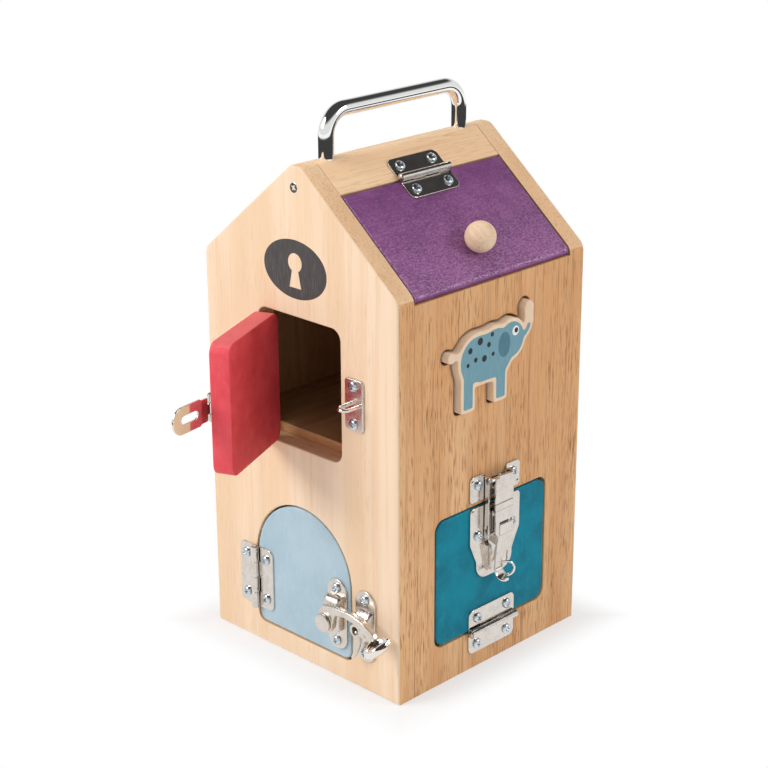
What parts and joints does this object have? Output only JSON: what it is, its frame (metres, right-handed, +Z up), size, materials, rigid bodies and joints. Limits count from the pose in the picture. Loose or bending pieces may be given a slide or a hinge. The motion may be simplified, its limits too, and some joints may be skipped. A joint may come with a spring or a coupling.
{
  "type": "lock box toy",
  "caption": "House-shaped wooden toy box with hinged doors and a roof hatch, each closed by a different catch, a push-out animal figure and a metal carry handle.",
  "frame": {"origin": "centre of the square base, on the surface it stands on", "axes": "+Z up; -Y the front gable with the red and the arched door; +X the wall with the teal door; the ridge and the handle run along Y"},
  "size_m": [0.1726, 0.2516, 0.3419],
  "materials": {
    "natural_wood": "satin",
    "purple_wood": "satin stain",
    "red_wood": "satin paint",
    "pale_blue_wood": "satin paint",
    "teal_wood": "satin paint",
    "beech": "satin",
    "printed_wood": "satin",
    "polished_steel": "polished",
    "nickel": "polished",
    "zinc": "bright zinc"
  },
  "bodies": {
    "house": {"front_gable": "natural_wood", "back_gable": "natural_wood", "left_wall": "natural_wood", "right_wall": "natural_wood", "lower_floor": "natural_wood", "upper_floor": "natural_wood", "ridge_block": "natural_wood", "left_roof": "natural_wood", "gable_screws": "zinc", "handle": "polished_steel", "handle_screws": "zinc", "house_screws": "zinc", "red_frame_leaf": "nickel", "red_hinge_pin": "nickel", "staple_plate": "nickel", "staple_loop": "nickel", "arch_frame_leaf": "nickel", "arch_hinge_pin": "nickel", "keeper_plate": "nickel", "keeper_post": "nickel", "teal_wall_leaf": "nickel", "teal_hinge_pin": "nickel", "toggle_strike": "nickel", "ridge_leaf": "nickel", "lid_hinge_pin": "nickel"},
    "red_door": {"red_door": "red_wood", "red_door_leaf": "nickel", "hasp_leaf": "nickel", "hasp_pin": "nickel", "red_door_screws": "zinc"},
    "hasp_strap": {"hasp_strap": "nickel"},
    "arch_door": {"arch_door": "pale_blue_wood", "arch_door_leaf": "nickel", "latch_plate": "nickel", "latch_post": "nickel", "arch_door_screws": "zinc"},
    "latch_lever": {"latch_lever": "nickel"},
    "teal_door": {"teal_door": "teal_wood", "teal_door_leaf": "nickel", "toggle_base": "nickel", "toggle_pin": "nickel", "teal_door_screws": "zinc"},
    "toggle_lever": {"toggle_lever": "nickel", "claw_pin": "nickel"},
    "toggle_claw": {"toggle_claw": "nickel"},
    "pull_ring": {"pull_ring": "nickel"},
    "roof_lid": {"roof_lid": "purple_wood", "lid_leaf": "nickel", "lid_knob": "beech", "knob_screw": "zinc", "lid_screws": "zinc"},
    "figure": {"figure": "printed_wood"}
  },
  "joints": [
    {"name": "red_door_hinge", "type": "hinge", "parent": "house", "child": "red_door", "pos_m": [-0.03405, -0.08275, 0.18075], "axis": [0, 0, -1], "range_deg": [-66.5, 83.5]},
    {"name": "hasp_hinge", "type": "hinge", "parent": "red_door", "child": "hasp_strap", "pos_m": [-0.00983, -0.13844, 0.1804], "axis": [0, 0, -1], "range_deg": [-9.5, 65]},
    {"name": "arch_door_hinge", "type": "hinge", "parent": "house", "child": "arch_door", "pos_m": [-0.04105, -0.08275, 0.044], "axis": [0, 0, -1], "range_deg": [0, 110]},
    {"name": "latch_lever_pivot", "type": "hinge", "parent": "arch_door", "child": "latch_lever", "pos_m": [0.0302, -0.09, 0.0415], "axis": [0, -1, 0], "range_deg": [0, 75]},
    {"name": "teal_door_hinge", "type": "hinge", "parent": "house", "child": "teal_door", "pos_m": [0.08275, 0, 0.02495], "axis": [0, 1, 0], "range_deg": [0, 90]},
    {"name": "toggle_lever_pivot", "type": "hinge", "parent": "teal_door", "child": "toggle_lever", "pos_m": [0.085, 0.0015, 0.101], "axis": [0, 1, 0], "range_deg": [-120, 0]},
    {"name": "claw_pivot", "type": "hinge", "parent": "toggle_lever", "child": "toggle_claw", "pos_m": [0.0836, 0.0015, 0.087], "axis": [0, 1, 0], "range_deg": [0, 120]},
    {"name": "ring_swivel", "type": "hinge", "parent": "toggle_lever", "child": "pull_ring", "pos_m": [0.088, 0.0049, 0.06255], "axis": [0.7071, -0.7071, 0], "range_deg": [-60, 60]},
    {"name": "lid_hinge", "type": "hinge", "parent": "house", "child": "roof_lid", "pos_m": [0.02469, 0, 0.29716], "axis": [0, -1, 0], "range_deg": [0, 110]},
    {"name": "figure_slide", "type": "slide", "parent": "house", "child": "figure", "axis": [1, 0, 0], "range_m": [0, 0.03]}
  ],
  "couplings": [
    {"joint": "claw_pivot", "follows": "toggle_lever_pivot", "ratio": -1}
  ]
}
